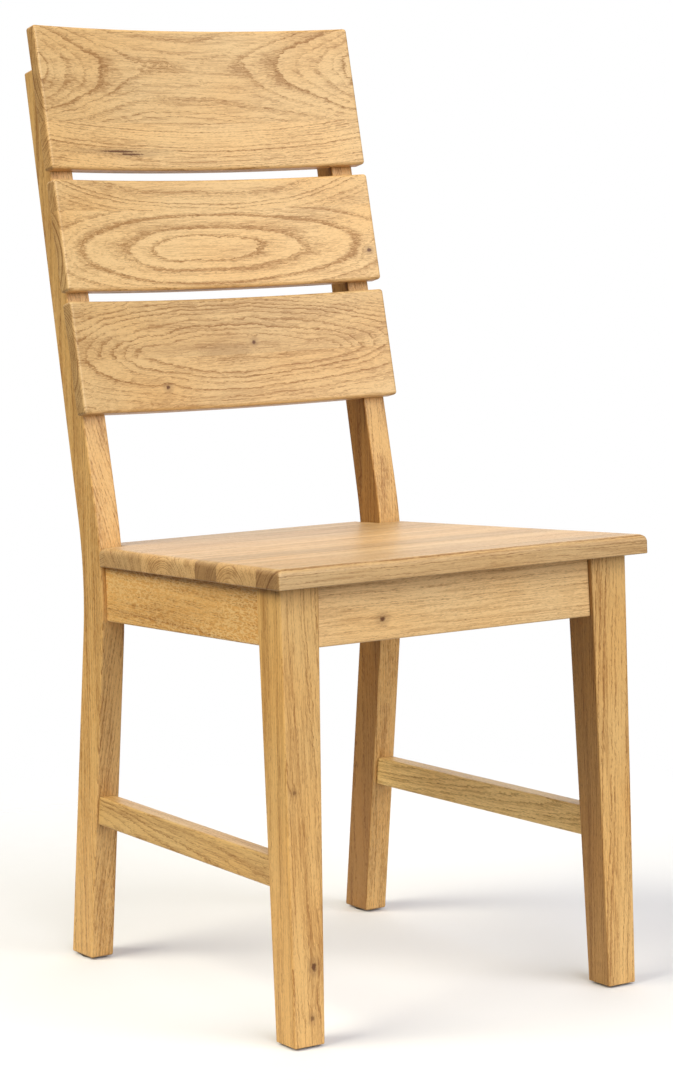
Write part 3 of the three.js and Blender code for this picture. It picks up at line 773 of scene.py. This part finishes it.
def finish_slats():
    """Each board has its own log. The columns are behind, beside, seed, shade and what else differs."""
    face = largest_normal("top_slat_upper_board", Z).cross(X)
    if face.y > 0:
        face.negate()
    crack = ((-108, -6, 38, 1.8, 1.0), (-92, -9, 22, 1.8, 1.0))
    end_nick = ((190, -10, 4, 3, 1),)
    lens_and_knot = ((-3, -28, 52, 15, 0.32), (32, -19, 4, 3.5, 1))
    lower_knot = ((-85, -4, 4, 3.5, 1),)
    for node, behind, beside, seed, shade, looks in (
        ("top_slat_upper_board", -95, 8, 6, 1.04, {"ring": 3.8, "wave": 4.5}),
        ("top_slat_lower_board", 90, 170, 4, 1.1, {"ring": 3.4, "wave": 2.5, "marks": crack}),
        ("middle_slat_upper_board", 70, 50, 2, 1.08, {"ring": 4.5, "wave": 3.5}),
        ("middle_slat_lower_board", 42, 0, 10, 1.12, {"ring": 5.6, "wave": 2.5, "marks": end_nick}),
        ("bottom_slat_upper_board", 50, -34, 4, 0.96, {"ring": 3.2, "wave": 7.5, "marks": lens_and_knot}),
        (
            "bottom_slat_lower_board", 38, 40, 9, 0.98,
            {"ring": 4.8, "wave": 5.5, "marks": lower_knot, "lean": -1.2},
        ),
    ):
        tone = shaded(SLAT_TINT, shade)
        oak(pieces[node], X, face, behind, beside, seed=seed, tone=tone, **looks)


def finish_seat():
    """The columns are behind, beside, ends and shade, from the front stave to the rear one."""
    face = largest_normal(STAVES[1], Z)
    for number, (behind, beside, ends, shade) in enumerate((
        (60, -60, 0.8, 0.85),
        (25, 15, 0.0, 0.93),
        (50, -90, 0.75, 0.81),
        (30, 10, 0.0, 0.95),
        (45, 70, 0.2, 0.87),
        (60, -40, 0.2, 0.84),
    )):
        oak(pieces[STAVES[number]], X, face, behind, beside, seed=SEAT_SEED + number, ring=2.8, wave=2.0,
            contrast=0.75, streaks=1.6, ends=ends, tone=shaded(SEAT_TINT, shade))


def finish_base():
    """Legs, posts, rails and corner blocks. Tones are fitted to this light, and aren't measured oak."""
    warm = (1, 0.96, 0.86)
    knots = {"left": ((26, 14, 3, 3, 0.7), (-146, -2, 6, 4, 1), (-196, 2, 4, 3, 0.8)), "right": ()}
    # Painted shade: the right leg's and post's faces turned to -X, and the right stretcher's top, are
    # darkened.
    painted_shade_leg = {"left": None, "right": (-X, 0.74)}
    painted_shade_post = {"left": None, "right": (-X, 0.95)}
    painted_shade_stretcher = {"left": None, "right": (Z, 0.4)}
    # The right stretcher is much paler than the left: painted light that lifts the shade it stands in.
    stretcher_tones = {"left": (0.93, 0.94, 0.89), "right": (1.31, 1.46, 1.5)}
    for side, sign in SIDES:
        outward = sign * X
        oak(pieces[f"front_leg_{side}"], Z, -Y, behind=60, beside=50 * sign, seed=20 + sign, ring=2.6,
            wave=2.5, streaks=2.0, tone=warm, marks=knots[side], painted_shade_side=painted_shade_leg[side])
        oak(pieces[f"rear_post_{side}"], Z, outward, behind=70, beside=20, seed=23 + sign, ring=2.8,
            wave=2.5, streaks=2.4, fleck=0.3, tone=(0.97, 0.91, 0.79), painted_shade_side=painted_shade_post[side])
        oak(pieces[f"side_apron_{side}"], Y, outward, behind=5, beside=120, seed=26 + sign, ring=2.2,
            wave=1.5, fleck=1.1, tone=(1.06, 0.93, 0.72))
        oak(pieces[f"side_stretcher_{side}"], Y, outward, behind=50, beside=20, seed=29 + sign, ring=2.6,
            wave=2.0, tone=stretcher_tones[side], painted_shade_side=painted_shade_stretcher[side])
    # The front apron is made paler: painted light that lifts the shade under the seat's overhang.
    oak(pieces["front_apron"], X, -Y, behind=60, beside=50, seed=32, ring=2.4, wave=1.5, contrast=0.5,
        streaks=0.9, tone=(1.14, 1.2, 1.38), marks=((-90, -9, 5, 4, 1),))
    oak(pieces["rear_apron"], X, Y, behind=70, beside=30, seed=33, ring=2.6, wave=2.0)
    for side, sign in SIDES:
        for place in ("front", "rear"):
            block = nodes[f"corner_block_{place}_{side}"]
            oak(block, Z, Y, behind=60, beside=20 * sign, seed=40 + sign, ring=2.4, wave=2.0)


# ---------------------------------------------------------------- dowels, screws and glides

BEECH_PALE, BEECH_DEEP = (0.66, 0.45, 0.27, 1), (0.54, 0.33, 0.17, 1)
BEECH_RAY = (0.33, 0.17, 0.08, 1)
ZINC_BRIGHT, ZINC_DULL = (0.72, 0.70, 0.62, 1), (0.50, 0.50, 0.47, 1)
PLASTIC_CLEAN, PLASTIC_DUSTY = (0.045, 0.032, 0.024, 1), (0.10, 0.078, 0.06, 1)
MID_RANGE = (0.3, 0.7)  # where most of a noise's values lie


def make_beech():
    """Pale, close-grained dowel wood with short dark rays, its grain along Y."""
    material, g, shader = new_material("beech_dowel")
    place = g.node("TexCoord").outputs["Object"]
    fibre = g.noise(g.vector("DIVIDE", place, (0.6 * MM, 20 * MM, 0.6 * MM)), detail=2)
    ray = g.noise(g.vector("DIVIDE", place, (0.25 * MM, 1.5 * MM, 0.5 * MM)), detail=1)
    wood = g.mix(fibre, BEECH_PALE, BEECH_DEEP)
    wood = g.mix(g.remap(ray, 0.6, 0.68, 0, 0.5), wood, BEECH_RAY)
    g.feed(shader.inputs["Base Color"], wood)
    g.feed(shader.inputs["Roughness"], g.remap(fibre, *MID_RANGE, 0.5, 0.62))
    roughen(g, shader, fibre, 0.1 * MM)
    return material


def make_steel():
    """Zinc-plated screw steel, slightly yellow and clouded."""
    material, g, shader = new_material("zinc_plated_steel")
    place = g.node("TexCoord").outputs["Object"]
    cloud = g.noise(g.vector("DIVIDE", place, (2 * MM, 2 * MM, 2 * MM)), detail=3)
    scratch = g.noise(g.vector("DIVIDE", place, (0.3 * MM, 0.3 * MM, 3 * MM)), detail=2)
    g.feed(shader.inputs["Base Color"], g.mix(cloud, ZINC_BRIGHT, ZINC_DULL))
    g.feed(shader.inputs["Roughness"], g.remap(cloud, *MID_RANGE, 0.25, 0.45))
    shader.inputs["Metallic"].default_value = 1
    roughen(g, shader, scratch, 0.03 * MM)
    return material


def make_glide_plastic():
    """Dark brown moulded plastic with a fine grain."""
    material, g, shader = new_material("moulded_glide_plastic")
    place = g.node("TexCoord").outputs["Object"]
    grain = g.noise(g.vector("DIVIDE", place, (0.4 * MM, 0.4 * MM, 0.4 * MM)), detail=2)
    dust = g.noise(g.vector("DIVIDE", place, (9 * MM, 9 * MM, 3 * MM)), detail=3)
    g.feed(shader.inputs["Base Color"], g.mix(dust, PLASTIC_CLEAN, PLASTIC_DUSTY))
    g.feed(shader.inputs["Roughness"], g.remap(dust, *MID_RANGE, 0.45, 0.65))
    roughen(g, shader, grain, 0.08 * MM)
    return material


def finish_hardware():
    """Dresses the CAD nodes that show as they are."""
    materials = {"dowel": make_beech(), "screw": make_steel(), "glide": make_glide_plastic()}
    for name, node in nodes.items():
        for word, material in materials.items():
            if word in name:
                dress(node, material)


finish_slats()
finish_seat()
finish_base()
finish_hardware()

# ---------------------------------------------------------------- stage

def make_floor():
    """A pale floor that shows brighter to the camera than it lights the chair."""
    bm = bmesh.new()
    bmesh.ops.create_circle(bm, cap_ends=True, segments=FLOOR_CORNERS, radius=FLOOR_RADIUS)
    mesh = bpy.data.meshes.new("floor")
    bm.to_mesh(mesh)
    bm.free()
    floor = new_object("floor", mesh)
    pale, g, shader = new_material("pale_floor")
    seen = g.node("LightPath").outputs["Is Camera Ray"]
    g.feed(shader.inputs["Base Color"], g.mix(seen, FLOOR_BOUNCE, FLOOR_COLOUR))
    shader.inputs["Roughness"].default_value = 0.9
    distance = g.vector("LENGTH", g.node("TexCoord").outputs["Object"])
    g.feed(shader.inputs["Alpha"], g.remap(distance, *FLOOR_FADE, 1, 0, smooth=True))
    mesh.materials.append(pale)


def make_world():
    """A studio lit from above, with a bright wall behind the chair to its right.

    The camera itself sees plain white behind the chair.
    """
    world = bpy.data.worlds.new("studio")
    bpy.context.scene.world = world
    world.use_nodes = True
    g = Graph(world.node_tree)
    direction = g.node("TexCoord").outputs["Generated"]
    split = g.node("SeparateXYZ")
    g.feed(split.inputs[0], direction)
    overhead = g.remap(split.outputs["Z"], *CEILING_EDGE, 0, CEILING_LIGHT, smooth=True)
    towards_wall = g.vector("DOT_PRODUCT", direction, WALL_DIRECTION)
    wall = g.remap(towards_wall, *WALL_EDGE, 0, WALL_LIGHT, smooth=True)
    ambient = world.node_tree.nodes["Background"]
    g.feed(ambient.inputs["Strength"], g.math("ADD", g.math("ADD", overhead, wall), ROOM_LIGHT))
    ambient.inputs["Color"].default_value = WHITE
    backdrop = g.node("Background")
    backdrop.inputs["Color"].default_value = WHITE
    mix = g.node("MixShader")
    g.feed(mix.inputs["Fac"], g.node("LightPath").outputs["Is Camera Ray"])
    g.feed(mix.inputs[1], ambient.outputs[0])
    g.feed(mix.inputs[2], backdrop.outputs[0])
    g.feed(world.node_tree.nodes["World Output"].inputs["Surface"], mix.outputs[0])


def make_sun(name, direction, softness, strength, colour):
    """Even light from a direction that it comes from; softness is the angle it fills."""
    light = bpy.data.lights.new(name, "SUN")
    light.angle = math.radians(softness)
    light.energy = strength
    light.color = colour
    holder = bpy.data.objects.new(name, light)
    bpy.context.scene.collection.objects.link(holder)
    holder.rotation_euler = (-Vector(direction)).to_track_quat("-Z", "Y").to_euler()


def make_camera():
    data = bpy.data.cameras.new("camera")
    data.lens = LENS
    data.sensor_width = SENSOR
    data.clip_end = CAMERA_REACH
    camera = bpy.data.objects.new("camera", data)
    bpy.context.scene.collection.objects.link(camera)
    turn_right = Matrix.Rotation(math.radians(-CAMERA_TURN), 4, "Z")
    tip = Matrix.Rotation(math.radians(90 + CAMERA_PITCH), 4, "X")
    roll = Matrix.Rotation(math.radians(CAMERA_ROLL), 4, "Z")
    camera.matrix_world = Matrix.Translation(CAMERA_PLACE) @ turn_right @ tip @ roll
    bpy.context.scene.camera = camera


make_floor()
make_world()
for name, settings in SUNS.items():
    make_sun(name, *settings)
make_camera()
bpy.context.scene.view_settings.view_transform = "Standard"

# ---------------------------------------------------------------- finish

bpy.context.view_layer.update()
